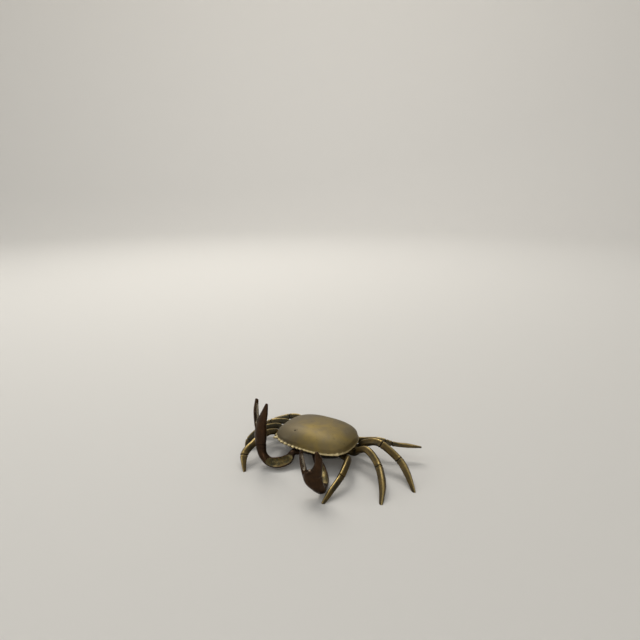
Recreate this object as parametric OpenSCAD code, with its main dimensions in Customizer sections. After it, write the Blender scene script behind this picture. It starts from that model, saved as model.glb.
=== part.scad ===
// Crab figurine in cast brass: a shallow bowl body under a hinged shell, eight legs and two raised claws.
// The crab faces -Y and its back is at +Y. The origin is on the floor, under the middle of the whole figure.

/* [Shell] */
// Width of the shell across its widest line, without the teeth
shell_w = 66; // [60:1:84]
// Length of the shell from the middle to its front edge
shell_front = 23.5; // [20:0.5:28]
// Length of the shell from the middle to its back edge
shell_back = 26; // [22:0.5:28]
// Height of the top of the shell's rim over the floor
shell_z = 14.2; // [13:0.1:17]
// Rise of the dome above the rim
dome_h = 10.8; // [9:0.2:16]
// Thickness of the dome
dome_t = 1.6; // [1.2:0.1:2.2]
// Thickness of the shell at its rim
rim_t = 1.3; // [1:0.1:2]
// Width of the flat land under the rim
land_w = 7; // [5.5:0.5:8]
// Number of teeth on each side of the front edge
teeth = 9; // [5:1:12]
// How far the largest tooth stands out
tooth_h = 1.3; // [0.6:0.1:1.8]
// How far the spine at the right front corner stands out
right_spine = 3.4; // [2:0.1:4.5]
// How far the blunter spine at the left front corner stands out
left_spine = 1.8; // [1:0.1:4]

/* [Bowl] */
// How far the bowl's rim lies inside the shell's rim
bowl_inset = 5; // [4:0.5:6]
// Thickness of the bowl's wall
wall = 1.8; // [1.4:0.1:2.4]
// Height of the bowl's underside over the floor
bowl_z = 4; // [3:0.5:5]
// Gap between the closed shell and the bowl's rim
lid_gap = 0.2; // [0.1:0.05:0.4]

/* [Hinge] */
// Diameter of the hinge pin
pin_d = 2; // [1.6:0.1:2.4]
// Radial clearance between the pin and the shell's knuckle
pin_clear = 0.05; // [0.02:0.01:0.1]
// Outer diameter of the knuckles
knuckle_d = 4; // [3.6:0.1:4.6]
// Length of the shell's knuckle
knuckle_l = 8; // [6:0.5:10]
// Length of each of the bowl's two knuckles
lug_l = 4; // [3:0.5:5]
// Side gap between neighbouring knuckles
side_gap = 0.3; // [0.2:0.1:0.5]
// Gap between the shell's knuckle and the bowl's back wall
knuckle_gap = 0.3; // [0.2:0.1:0.5]
// How far the tops of the bowl's knuckles lie below the shell's land
knuckle_drop = 0.4; // [0.3:0.1:0.8]

/* [Limbs] */
// Greatest width of a walking leg
leg_w = 6.2; // [5:0.1:8]
// Greatest thickness of a walking leg
leg_t = 4.8; // [4:0.1:6]
// Diameter of the round seats where the limbs meet the bowl
seat_d = 5.6; // [5:0.1:6]
// Height of the middle of the limb seats
seat_z = 9.2; // [8.6:0.1:9.6]
// How far the limb seats stand out of the bowl's wall
seat_out = 1.5; // [1:0.1:2.5]
// How far the low neck of a limb reaches past the shell's rim
neck_out = 1.3; // [0.5:0.1:2.5]
// How far inside the shell's rim lies the point that a limb's steps are measured from
steps_in = 3.5; // [2.5:0.1:4.5]
// Width of the ring grooves at the joints of a leg
groove_w = 1.2; // [0.8:0.1:1.4]
// Depth of the ring grooves
groove_t = 0.45; // [0.2:0.05:0.6]
// How far the collars beside a groove stand out
collar_t = 0.15; // [0:0.05:0.3]
// Greatest width of a claw
claw_w = 14; // [10:0.5:16]
// Greatest thickness of a claw
claw_t = 8; // [6:0.5:10]

/* [Screws] */
// Diameter of a screw's shank
screw_d = 2.4; // [2:0.1:2.6]
// Diameter of a screw's head
head_d = 3.8; // [3.2:0.1:4.2]
// Height of a screw's head
head_h = 1.3; // [1:0.1:1.8]
// Depth of the tapped hole in a limb
tap_depth = 5; // [4:0.5:6]
// Radial clearance round a screw's shank
screw_clear = 0.05; // [0.02:0.01:0.1]
// Radial clearance round a screw's head, where it sits in its pocket in the bowl
head_clear = 0.25; // [0.15:0.05:0.4]
// Room in the pocket behind a screw's head
head_room = 3; // [2:0.5:4]

/* [Hidden] */
olive_brass = "#6f6240";
dark_bronze = "#3f3026";
worn_brass = "#8a7440";
overlap = 0.5;
// The middle of the whole figure, seen from under the middle of the shell
middle = [12.2, -13.9, 0];
lid_under = shell_z - rim_t;
bowl_top = lid_under - lid_gap;
hinge_y = shell_back - bowl_inset + knuckle_d / 2 + knuckle_gap;
hinge_z = lid_under - knuckle_drop - knuckle_d / 2;
floor_t = wall;
squareness = 2.8;
// The teeth cover this many degrees to each side of the front
toothed = 70;

// Curves and sections
function unit(v) = v / norm(v);
function without(v, t) = v - t * (v * t);
function between(a, b, c, d, t) =
    0.5 * (2 * b + (c - a) * t + (2 * a - 5 * b + 4 * c - d) * t * t
        + (3 * b - a - 3 * c + d) * t * t * t);
function at(s, u) =
    let (last = len(s) - 1, i = min(floor(u), last - 1))
        between(s[max(0, i - 1)], s[i], s[i + 1], s[min(last, i + 2)], u - i);
function place(s) = [s[0], s[1], s[2]];
function side(s) = [s[5], s[6], s[7]];
function grown(s, by) = [for (i = [0:7]) i == 3 || i == 4 ? s[i] + 2 * by : s[i]];

// A ring groove at a joint: a collar, the bottom of the groove and a second collar
function groove(s, u) =
    let (
        pace = norm(place(at(s, u + 0.05)) - place(at(s, u - 0.05))) / 0.1,
        half = groove_w / 2 / pace
    )
        [grown(at(s, u - half), collar_t), grown(at(s, u), -groove_t), grown(at(s, u + half), collar_t)];
function smooth(s, steps, joints) = [
    for (i = [0:(len(s) - 1) * steps - 1])
        let (u = i / steps)
            each [at(s, u), for (j = joints) if (j > u && j < u + 1 / steps) each groove(s, j)],
    s[len(s) - 1]
];

// The end rings stand square to the first and last stretch, so that a limb's root is flat on its seat
function heading(path, i, steps) =
    let (last = len(path) - 1, ahead = i == 0 ? steps : min(last, i + 1))
        unit(place(path[ahead]) - place(path[max(0, i - 1)]));

// One cross-section of a limb: a flattened oval with a ridge on its upper side
function ring(s, t, sides, ridge) =
    let (across = unit(without(side(s), t)), up = cross(t, across)) [
        for (k = [0:sides - 1])
            let (a = 360 * k / sides, rise = 1 + ridge * pow(max(0, sin(a)), 6))
                place(s) + across * (s[3] / 2 * cos(a)) + up * (s[4] / 2 * sin(a) * rise)
    ];

// A solid through stations [x, y, z, width, thickness, side x, side y, side z], with grooves at its joints
module limb(stations, ridge, joints = [], sides = 12, steps = 4) {
    path = smooth(stations, steps, joints);
    last = len(path) - 1;
    points = [
        for (i = [0:last])
            each ring(path[i], heading(path, i, steps), sides, ridge)
    ];
    walls = [
        for (i = [0:last - 1])
            for (k = [0:sides - 1])
                let (a = i * sides + k, b = i * sides + (k + 1) % sides)
                    each [[a, b + sides, b], [a, a + sides, b + sides]]
    ];
    caps = [[for (k = [0:sides - 1]) k], [for (k = [sides - 1:-1:0]) last * sides + k]];
    polyhedron(points, concat(walls, caps), convexity = 6);
}

// The oval plan of the shell, flatter at the front, as a distance from the middle along one bearing
function plan_radius(a, inset) =
    let (
        half_w = shell_w / 2 - inset,
        half_l = (sin(a) < 0 ? shell_front : shell_back) - inset
    )
        pow(pow(abs(cos(a)) / half_w, squareness) + pow(abs(sin(a)) / half_l, squareness),
            -1 / squareness);
function plan_point(a, inset) = plan_radius(a, inset) * [cos(a), sin(a)];

// How far the front edge's teeth stand out at one bearing, with the last tooth but one drawn out to a spine
function tooth(a) =
    let (
        turn = abs(((a + 90) % 360 + 540) % 360 - 180),
        along = turn / toothed * teeth,
        number = floor(along + 0.001),
        rise = sin(180 * (along - number))
    )
        number >= teeth ? 0
            : number == teeth - 2 ? (a < -90 ? right_spine : left_spine) * pow(max(0, rise), 2)
            : tooth_h * (0.5 + 0.5 * number / teeth) * max(0, rise);

// Bearings round the shell: four to a tooth along the front edge, and even steps round the back
shell_bearings = concat(
    [for (i = [-4 * teeth:4 * teeth - 1]) -90 + i * toothed / teeth / 4],
    [for (a = [toothed - 90:5:269 - toothed]) a]
);
bowl_bearings = [for (a = [0:7.5:359]) a];

// Height of the dome over a point of the plan, this far out along one bearing
function dome_z(a, out) = shell_z + dome_h * pow(max(0, 1 - pow(out / plan_radius(a, 0), 3)), 0.45);

// A closed skin over rings [inset, height, share of the teeth], from the middle below to the middle above.
// A ring [inset, undef, share of the teeth, drop, share of the plan] lies on the dome, or a drop below it.
module oval_skin(rings, bearings) {
    count = len(rings);
    sides = len(bearings);
    points = [
        [0, 0, rings[0][1]],
        for (r = [1:count - 2])
            for (a = bearings)
                let (
                    low = rings[r],
                    on_dome = is_undef(low[1]),
                    plain = plan_radius(a, low[0]) * (on_dome ? low[4] : 1),
                    out = plain + tooth(a) * low[2]
                )
                    [out * cos(a), out * sin(a), on_dome ? dome_z(a, plain) - low[3] : low[1]],
        [0, 0, rings[count - 1][1]]
    ];
    top = len(points) - 1;
    start = 1 + (count - 3) * sides;
    faces = [
        for (k = [0:sides - 1]) [0, 1 + k, 1 + (k + 1) % sides],
        for (r = [0:count - 4])
            for (k = [0:sides - 1])
                let (a = 1 + r * sides + k, b = 1 + r * sides + (k + 1) % sides)
                    each [[a, b + sides, b], [a, a + sides, b + sides]],
        for (k = [0:sides - 1]) [top, start + (k + 1) % sides, start + k]
    ];
    polyhedron(points, faces, convexity = 4);
}

// Where the limbs meet the bowl: bearing of the seat round the bowl, then heading of its screw
left_seats = [[-62, -52], [-17, -24], [0, 0], [16, 12], [36, 24]];
right_seats = [[-105, -118], [-168, -174], [176, 178], [158, 164], [143, 140]];
seat_face = bowl_inset - seat_out;
neck_l = seat_face + neck_out;
boss_l = seat_out + wall + 2.6;
function seat(s) = concat(plan_point(s[0], seat_face), seat_z);
module at_seat(s) {
    translate(seat(s)) rotate([0, 0, s[1]]) rotate([0, 90, 0]) children();
}

// Stations of a limb from steps [x, y, height, width, thickness], each step taken from the same point
function steps_from(s, across, w, t, steps) = let (from = plan_point(s[0], steps_in)) [
    for (p = steps) [from.x + p[0], from.y + p[1], p[2], w * p[3], t * p[4], each across]
];
// A limb leaves its seat along the screw and stays low until it is clear of the shell's rim
function root_of(s) = let (x = cos(s[1]), y = sin(s[1]), from = seat(s)) [
    [from.x, from.y, from.z, seat_d, seat_d, -y, x, 0],
    [from.x + neck_l * x, from.y + neck_l * y, from.z, seat_d, seat_d - 0.6, -y, x, 0]
];

// Every part is drawn from under the middle of the shell, and moved to the middle of the whole figure
module centred() {
    translate(-middle) children();
}

// A limb has a tapped hole for its screw, and it is cut flat where it stands on the floor
module finished(s) {
    difference() {
        children();
        at_seat(s) translate([0, 0, -1])
            cylinder(d = screw_d + 2 * screw_clear, h = tap_depth + 1, $fn = 32);
        translate([-2 * shell_w, -2 * shell_w, -shell_z]) cube([4 * shell_w, 4 * shell_w, shell_z]);
    }
}

module leg(s, across, joints, steps) {
    color(olive_brass) centred()
        finished(s) limb(concat(root_of(s), steps_from(s, across, leg_w, leg_t, steps)), 0.18, joints);
}

// Bowl: a thin cast pan that carries the limbs, with two knuckles at the back
module bowl() {
    color(dark_bronze) centred()
        difference() {
            union() {
                oval_skin([
                    [0, bowl_z, 0], [bowl_inset + 12, bowl_z, 0], [bowl_inset + 6, bowl_z + 1.4, 0],
                    [bowl_inset + 2.4, bowl_z + 3.6, 0], [bowl_inset + 0.6, bowl_z + 6, 0],
                    [bowl_inset, bowl_top, 0],
                    [bowl_inset + wall, bowl_top, 0], [bowl_inset + wall + 0.8, bowl_z + 6.4, 0],
                    [bowl_inset + wall + 3, bowl_z + 4.2, 0],
                    [bowl_inset + wall + 6.5, bowl_z + floor_t + 0.6, 0],
                    [bowl_inset + wall + 10, bowl_z + floor_t, 0], [0, bowl_z + floor_t, 0]
                ], bowl_bearings);
                for (s = concat(left_seats, right_seats))
                    at_seat(s) translate([0, 0, -boss_l]) cylinder(d = seat_d, h = boss_l, $fn = 32);
                for (m = [-1, 1]) bowl_lug(m);
            }
            for (s = concat(left_seats, right_seats))
                at_seat(s) {
                    translate([0, 0, -boss_l - 1])
                        cylinder(d = screw_d + 2 * screw_clear, h = boss_l + 2, $fn = 32);
                    translate([0, 0, -boss_l - head_h - head_room])
                        cylinder(d = head_d + 2 * head_clear, h = head_h + head_room, $fn = 32);
                }
            hinge_bore(knuckle_l + 2 * side_gap + 2 * lug_l + 2, 0);
        }
}

module on_hinge() {
    translate([0, hinge_y, hinge_z]) rotate([0, 90, 0]) children();
}

module hinge_bore(l, clear) {
    on_hinge() cylinder(d = pin_d + 2 * clear, h = l, center = true, $fn = 32);
}

module bowl_lug(m) {
    lug_x = m * (knuckle_l / 2 + side_gap + lug_l / 2);
    reach = knuckle_d / 2 + knuckle_gap + wall / 2;
    translate([lug_x, 0, 0]) {
        on_hinge() cylinder(d = knuckle_d, h = lug_l, center = true, $fn = 32);
        translate([-lug_l / 2, hinge_y - reach, hinge_z - knuckle_d / 2])
            cube([lug_l, reach, knuckle_d / 2]);
    }
}

// Shell: the domed carapace, hollow below, with a toothed front edge, a flat land and one knuckle
module shell() {
    upper = [0.99, 0.965, 0.925, 0.86, 0.77, 0.64, 0.48, 0.3, 0.14];
    top = shell_z + dome_h;
    color(olive_brass) centred()
        difference() {
            union() {
                oval_skin(concat(
                    [[0, top - dome_t, 0]],
                    [for (x = [0.2, 0.4]) [0, undef, 0, dome_t, x]],
                    [for (x = [1.6, 0.6]) [land_w + x, undef, 0, dome_t, 1]],
                    [[land_w, lid_under, 0], [0.6, lid_under, 0.9]],
                    [[0, lid_under + 0.3, 1], [0, shell_z - 0.2, 1]],
                    [for (x = upper) [0, undef, max(0, 1 - (1 - x) * 12), 0, x]],
                    [[0, top, 0]]
                ), shell_bearings);
                shell_knuckle();
            }
            hinge_bore(knuckle_l + 2, pin_clear);
        }
}

module shell_knuckle() {
    on_hinge() cylinder(d = knuckle_d, h = knuckle_l, center = true, $fn = 32);
    translate([-knuckle_l / 2, hinge_y - knuckle_d / 2 + 0.2, hinge_z])
        cube([knuckle_l, knuckle_d - 1, lid_under + overlap - hinge_z]);
}

// Hinge pin: a plain wire pin, tight in the bowl's knuckles
module hinge_pin() {
    color(worn_brass) centred()
        on_hinge() cylinder(d = pin_d, h = knuckle_l + 2 * side_gap + 2 * lug_l, center = true, $fn = 32);
}

// Limb screws: ten round heads inside the bowl, one for each leg and claw
module limb_screws() {
    color(worn_brass) centred()
        for (s = concat(left_seats, right_seats))
            at_seat(s) {
                translate([0, 0, -boss_l - head_h]) cylinder(d = head_d, h = head_h, $fn = 32);
                translate([0, 0, -boss_l - 0.01])
                    cylinder(d = screw_d, h = boss_l + tap_depth - 0.3, $fn = 32);
            }
}

// Left claw: the arm runs forward and down, and the palm and its two fingers stand up beside the first leg
module left_claw() {
    s = left_seats[0];
    palm = [0.87, 0.5, 0];
    color(dark_bronze) centred() {
        finished(s) limb(concat(root_of(s), steps_from(s, palm, claw_w, claw_t, [
            [10, -10, 8, 0.5, 0.72], [18, -19, 5.4, 0.52, 0.75], [22, -29, 4.9, 0.46, 0.8],
            [20.6, -33.5, 10, 0.7, 0.95], [18, -34, 17, 0.96, 1], [19.3, -34.5, 24.5, 0.6, 0.75],
            [20.8, -35, 30, 0.42, 0.5], [18.2, -35.5, 36.5, 0.12, 0.18]
        ])), 0.05, [4.125], 14);
        limb(steps_from(s, palm, claw_w, claw_t, [
            [13, -33.5, 15, 0.4, 0.6], [10.6, -35, 24, 0.26, 0.5], [10.2, -36.5, 31, 0.2, 0.36],
            [11, -37.8, 37, 0.08, 0.12]
        ]), 0, [], 14);
    }
}

// Right claw: the arm runs forward along the floor, and the palm and its two fingers are raised straight up
module right_claw() {
    s = right_seats[0];
    palm = [0.98, -0.2, 0];
    color(dark_bronze) centred() {
        finished(s) limb(concat(root_of(s),
            steps_from(s, [0.7, -0.6, -0.4], claw_w, claw_t, [
                [-3.6, -9, 5.8, 0.58, 0.78], [-7.8, -15.3, 5, 0.64, 0.8]
            ]),
            steps_from(s, [0.55, -0.8, -0.1], claw_w, claw_t, [[-15, -18, 5.2, 0.6, 0.8]]),
            steps_from(s, [0.75, -0.6, 0.1], claw_w, claw_t, [[-21, -17.8, 9.5, 0.58, 0.85]]),
            steps_from(s, palm, claw_w, claw_t, [
                [-23.3, -16.8, 17, 0.64, 0.95], [-23.4, -16.5, 26, 0.78, 1],
                [-22, -16.5, 35, 0.62, 0.8], [-18.8, -17, 44, 0.42, 0.55], [-15.8, -17.5, 53, 0.14, 0.2]
            ])
        ), 0.05, [6.125], 14);
        limb(steps_from(s, palm, claw_w, claw_t, [
            [-24.4, -16.5, 24, 0.4, 0.6], [-26.3, -16.5, 33, 0.32, 0.55], [-26.6, -16.7, 44, 0.3, 0.4],
            [-24.8, -17, 55, 0.12, 0.16]
        ]), 0, [], 14);
    }
}

// Walking legs: each rises from its seat to a knee and comes down to a blunt foot, cut flat by the floor
module left_leg_1() {
    leg(left_seats[1], [0.97, -0.24, 0], [3.875], [
        [7.5, -7, 11.8, 0.9, 1], [10.2, -17, 11.3, 0.9, 0.95], [11, -26, 8.3, 0.85, 0.9],
        [10, -39, 4, 0.72, 0.8], [8.9, -48.5, -0.6, 0.4, 0.55]
    ]);
}

module left_leg_2() {
    leg(left_seats[2], [0.5, 0.87, 0], [4.125], [
        [10, -1.5, 13.6, 0.95, 1], [17.8, -4, 16.6, 1.05, 1], [29, -11.5, 12.3, 0.98, 0.95],
        [38.2, -24.5, 6.5, 0.9, 0.85], [43.2, -38.2, -1, 0.4, 0.5]
    ]);
}

module left_leg_3() {
    leg(left_seats[3], [0.3, 0.95, 0], [3.125, 4.125], [
        [9.5, 1, 13.8, 1, 1.2], [22.5, -0.8, 18.6, 1.1, 1.1], [39.8, -4.5, 12, 1.1, 0.95],
        [49.8, -12, 6.6, 0.95, 0.85], [59, -21.7, -1, 0.4, 0.5]
    ]);
}

// Swimming leg: it is held off the floor and ends in a thin paddle
module left_leg_4() {
    leg(left_seats[4], [-0.3, 0.95, 0], [4.375, 4.875], [
        [10, 2.5, 10.5, 0.85, 0.95], [17, 2, 13, 0.8, 0.9], [24.7, 0.7, 15, 0.85, 0.9],
        [34.3, 3.3, 13.4, 0.75, 0.7], [44, 8, 12.6, 1, 0.5], [54, 12.6, 11.6, 0.3, 0.25]
    ]);
}

module right_leg_1() {
    leg(right_seats[1], [0.95, -0.3, 0], [3.375, 6.125], [
        [-6.6, -0.8, 11.7, 0.9, 1], [-9.6, -7.3, 13.4, 1, 1], [-10.2, -15.3, 14, 1.05, 1],
        [-10.1, -26.1, 12.7, 1.1, 1], [-10.8, -37.5, 8, 1.15, 1], [-3.6, -46.6, -1, 0.45, 0.55]
    ]);
}

module right_leg_2() {
    leg(right_seats[2], [0.6, -0.8, 0], [3.375, 4.875], [
        [-10.3, 0.1, 11.9, 0.9, 1], [-16.3, -10.9, 13.5, 1, 1], [-20.3, -17.4, 11, 0.95, 0.95],
        [-23.1, -24.1, 5.7, 0.8, 0.85], [-22.6, -27.4, -1, 0.4, 0.5]
    ]);
}

module right_leg_3() {
    leg(right_seats[3], [0.6, -0.8, 0], [3.375, 4.875], [
        [-9.9, 1.3, 11.7, 0.9, 1], [-17.9, -5.4, 12.9, 1, 1], [-22.9, -9.4, 10.8, 0.95, 0.95],
        [-26.7, -12.4, 6, 0.8, 0.85], [-28, -13.6, -1, 0.4, 0.5]
    ]);
}

module right_leg_4() {
    leg(right_seats[4], [-0.3, -0.95, 0], [3.375, 4.875], [
        [-8.5, 7.5, 11.8, 0.9, 0.95], [-15, 6, 12, 0.95, 0.95], [-22, 0.8, 11, 0.9, 0.9],
        [-29, -4, 8.5, 0.8, 0.8], [-36, -7.5, 3.8, 0.6, 0.7], [-40, -9.2, -0.8, 0.4, 0.5]
    ]);
}

bowl();
shell();
hinge_pin();
limb_screws();
left_claw();
right_claw();
left_leg_1();
left_leg_2();
left_leg_3();
left_leg_4();
right_leg_1();
right_leg_2();
right_leg_3();
right_leg_4();
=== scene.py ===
from math import atan2, cos, exp, floor, hypot, pi, radians, sin, sqrt

import bmesh
import bpy
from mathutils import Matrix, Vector, kdtree, noise


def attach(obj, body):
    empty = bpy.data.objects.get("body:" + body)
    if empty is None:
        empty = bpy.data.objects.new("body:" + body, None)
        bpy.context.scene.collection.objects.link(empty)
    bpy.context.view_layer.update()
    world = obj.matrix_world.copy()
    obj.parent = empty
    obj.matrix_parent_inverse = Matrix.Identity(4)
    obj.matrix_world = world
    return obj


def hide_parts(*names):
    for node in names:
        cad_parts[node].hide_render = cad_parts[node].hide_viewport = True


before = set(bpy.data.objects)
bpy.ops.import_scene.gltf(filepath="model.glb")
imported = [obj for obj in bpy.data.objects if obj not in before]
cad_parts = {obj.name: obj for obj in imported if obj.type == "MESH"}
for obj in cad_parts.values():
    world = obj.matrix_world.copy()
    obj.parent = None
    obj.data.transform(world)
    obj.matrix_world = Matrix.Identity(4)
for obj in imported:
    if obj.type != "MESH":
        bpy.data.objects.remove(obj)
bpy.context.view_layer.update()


# View, table and light.
# The camera stands to the crab's front left, a little above it, as in the photograph. The table is a plain
# pale sheet that curves up into a wall. Soft lamps hang round the figure, and one more lights the wall only.

def tint(red, green, blue):
    """A colour in linear light from its screen values, 0 to 255."""
    parts = [c / 255 for c in (red, green, blue)]
    return tuple(c / 12.92 if c <= 0.04045 else ((c + 0.055) / 1.055) ** 2.4 for c in parts) + (1,)


scene = bpy.context.scene
scene.view_settings.view_transform = "Standard"

CAMERA_PLACE = (0.1714, -0.2993, 0.213)
CAMERA_TILT = radians(74.36)
CAMERA_TURN = radians(30)
LENS = 28.125
FILM = 36
camera = bpy.data.objects.new("camera", bpy.data.cameras.new("camera"))
camera.data.sensor_width = FILM
camera.data.lens = LENS
camera.data.clip_start = 0.01
camera.location = CAMERA_PLACE
camera.rotation_euler = (CAMERA_TILT, 0, CAMERA_TURN)
scene.collection.objects.link(camera)
scene.camera = camera


def softbox(name, place, power, wide, high, colour, aim=(0, 0, 0.02)):
    """A rectangular lamp behind a diffuser, aimed at the crab or at another point."""
    lamp = bpy.data.lights.new(name, "AREA")
    lamp.shape = "RECTANGLE"
    lamp.size, lamp.size_y = wide, high
    lamp.energy = power
    lamp.color = colour
    box = bpy.data.objects.new(name, lamp)
    box.location = place
    box.rotation_euler = (Vector(aim) - Vector(place)).to_track_quat("-Z", "Y").to_euler()
    scene.collection.objects.link(box)


softbox("lamp_over", (-0.75, 0.55, 1.25), 8.0, 0.7, 0.7, (1, 0.97, 0.92))
softbox("lamp_side", (-1.3, -0.75, 0.75), 3.4, 0.5, 0.8, (0.93, 0.96, 1))
softbox("lamp_front", (0.75, -1.3, 0.85), 5.0, 1.1, 0.6, (1, 0.97, 0.94))
softbox("lamp_backdrop", (-0.5, 0.9, 2.1), 26.0, 1.4, 0.9, (1, 0.98, 0.96), (-1.5, 2.6, 0.5))

world = bpy.data.worlds.new("room")
scene.world = world
world.use_nodes = True
sky = world.node_tree.nodes["Background"]
sky.inputs["Color"].default_value = tint(226, 230, 234)
sky.inputs["Strength"].default_value = 0.62

# The table runs out into a wall all round in one smooth curve, like a photographer's paper backdrop
FLAT_REACH = 1.8
WALL_CURVE = 1.2
WALL_TOP = 3.4
ROUND = 128
curve_angles = [pi * k / 48 for k in range(1, 25)]
backdrop = [(0.4, 0), (FLAT_REACH, 0)]
backdrop += [(FLAT_REACH + WALL_CURVE * sin(a), WALL_CURVE - WALL_CURVE * cos(a)) for a in curve_angles]
backdrop.append((FLAT_REACH + WALL_CURVE, WALL_TOP))
turns = [2 * pi * k / ROUND for k in range(ROUND)]
table_points = [(0, 0, 0)] + [(r * cos(a), r * sin(a), z) for r, z in backdrop for a in turns]
table_faces = [(0, 1 + k, 1 + (k + 1) % ROUND) for k in range(ROUND)]
for row in range(len(backdrop) - 1):
    near, far = 1 + ROUND * row, 1 + ROUND * (row + 1)
    table_faces += [(near + k, far + k, far + (k + 1) % ROUND, near + (k + 1) % ROUND) for k in range(ROUND)]
table = bpy.data.meshes.new("table")
table.from_pydata(table_points, [], table_faces)
table.shade_smooth()
table_top = bpy.data.objects.new("table", table)
scene.collection.objects.link(table_top)
table_paint = bpy.data.materials.new("table_paint")
table_paint.use_nodes = True
paint = table_paint.node_tree.nodes["Principled BSDF"]
paint.inputs["Base Color"].default_value = tint(214, 211, 205)
paint.inputs["Roughness"].default_value = 0.7
table.materials.append(table_paint)


# Shell.
# The crab's back is one thin casting in brass, hollow below, with a toothed front edge, a spine at each
# front corner and a knuckle under its back edge. It lifts on the hinge pin as the lid of the bowl.

# The shared frame's middle as seen from under the shell's middle, and then the shell's sizes, in millimetres
MIDDLE_X = 12.2
MIDDLE_Y = -13.9
SHELL_HALF_WIDTH = 33
SHELL_FRONT = 23.5
SHELL_BACK = 26
SHELL_EDGE = 14.2
SHELL_UNDER = 12.9
DOME_RISE = 10.8
DOME_WALL = 1.6
LAND = 7
SQUARENESS = 2.8
TOOTHED = radians(70)
TEETH = 9
TOOTH = 1.3
RIGHT_SPINE = 3.4
LEFT_SPINE = 1.08
HINGE_Y = 23.3
HINGE_Z = 10.5


def spot(x, y, z):
    """A point in millimetres from under the middle of the shell, in the shared frame."""
    return Vector(((x - MIDDLE_X) / 1000, (y - MIDDLE_Y) / 1000, z / 1000))


def from_middle(place):
    """A point of the shared frame in millimetres from under the middle of the shell."""
    return place.x * 1000 + MIDDLE_X, place.y * 1000 + MIDDLE_Y, place.z * 1000


def plan_reach(bearing, inset):
    """How far the shell's oval plan reaches along one bearing, less an inset."""
    half_width = SHELL_HALF_WIDTH - inset
    half_length = (SHELL_FRONT if sin(bearing) < 0 else SHELL_BACK) - inset
    share = (abs(cos(bearing)) / half_width) ** SQUARENESS + (abs(sin(bearing)) / half_length) ** SQUARENESS
    return share ** (-1 / SQUARENESS)


def dome_height(x, y):
    """Height of the dome over a point of its plan. Its front and its right side slope most gently."""
    length = SHELL_FRONT if y < 0 else SHELL_BACK
    square_share = (abs(x) / SHELL_HALF_WIDTH) ** SQUARENESS + (abs(y) / length) ** SQUARENESS
    share = min(1, square_share ** (1 / SQUARENESS))
    reach = max(hypot(x, y), 0.001)
    front, right = max(0, -y) / reach, max(0, -x) / reach
    return SHELL_EDGE + DOME_RISE * (1 - share ** 2.9) ** (0.48 + 0.32 * front ** 2 + 0.18 * right ** 2)


def tooth_at(bearing):
    """How far the front edge's teeth reach at one bearing, and how high on a tooth that is, 0 to 1."""
    turn = (bearing + pi / 2 + pi) % (2 * pi) - pi
    along = abs(turn) / TOOTHED * TEETH
    number = floor(along)
    if number >= TEETH:
        return 0, 0.5
    part = along - number
    left = turn > 0
    tip = 0.6 + 0.12 * sin(number * 5.1 + (2.3 if left else 0))
    crest = part / tip if part < tip else (1 - part) / (1 - tip)
    if number == TEETH - 2:
        return (LEFT_SPINE if left else RIGHT_SPINE) * crest ** 1.5, crest
    grade = 0.22 if left else 0.5 + 0.45 * number / TEETH
    uneven = 1 + 0.3 * sin(number * 2.4 + (0.9 if left else 3))
    return TOOTH * grade * uneven * crest ** 0.9, crest


def closed_skin(name, rings):
    """A closed mesh over rings of equal length. A ring may be a single point at either end."""
    points = [p for ring in rings for p in ring]
    starts, count = [], 0
    for ring in rings:
        starts.append(count)
        count += len(ring)
    faces = []
    for low, high, a, b in zip(rings, rings[1:], starts, starts[1:]):
        sides = max(len(low), len(high))
        for k in range(sides):
            m = (k + 1) % sides
            if len(low) == 1:
                faces.append((a, b + m, b + k))
            elif len(high) == 1:
                faces.append((a + k, a + m, b))
            else:
                faces.append((a + k, a + m, b + m, b + k))
    mesh = bpy.data.meshes.new(name)
    mesh.from_pydata(points, [], faces)
    tidy = bmesh.new()
    tidy.from_mesh(mesh)
    bmesh.ops.recalc_face_normals(tidy, faces=tidy.faces)
    tidy.to_mesh(mesh)
    tidy.free()
    mesh.shade_smooth()
    piece = bpy.data.objects.new(name, mesh)
    scene.collection.objects.link(piece)
    return piece


def set_wear(piece, wear_of):
    """Stores each point's share of rubbing and painted highlight, and of grime and painted shade, from its
    place and its outward direction.
    """
    mesh = piece.data
    rubbed_and_highlight = mesh.attributes.new("rubbed_and_highlight", "FLOAT", "POINT")
    grime_and_shade = mesh.attributes.new("grime_and_shade", "FLOAT", "POINT")
    for v in mesh.vertices:
        rubbed_and_highlight.data[v.index].value, grime_and_shade.data[v.index].value = wear_of(v.co, v.normal)


def roughen(piece, depth, grain, where=None):
    """Moves the points in and out along their normals by the uneven skin of a sand casting."""
    mesh = piece.data
    moved = []
    for v in mesh.vertices:
        push = noise.fractal(v.co / grain, 0.9, 2.1, 4) * depth
        moved.append(v.co + v.normal * (push * (where(v.co, v.normal) if where else 1)))
    for v, place in zip(mesh.vertices, moved):
        v.co = place


BEARINGS = [2 * pi * k / 720 for k in range(720)]
UNDER_RINGS = 15
DOME_RINGS = 60


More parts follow.
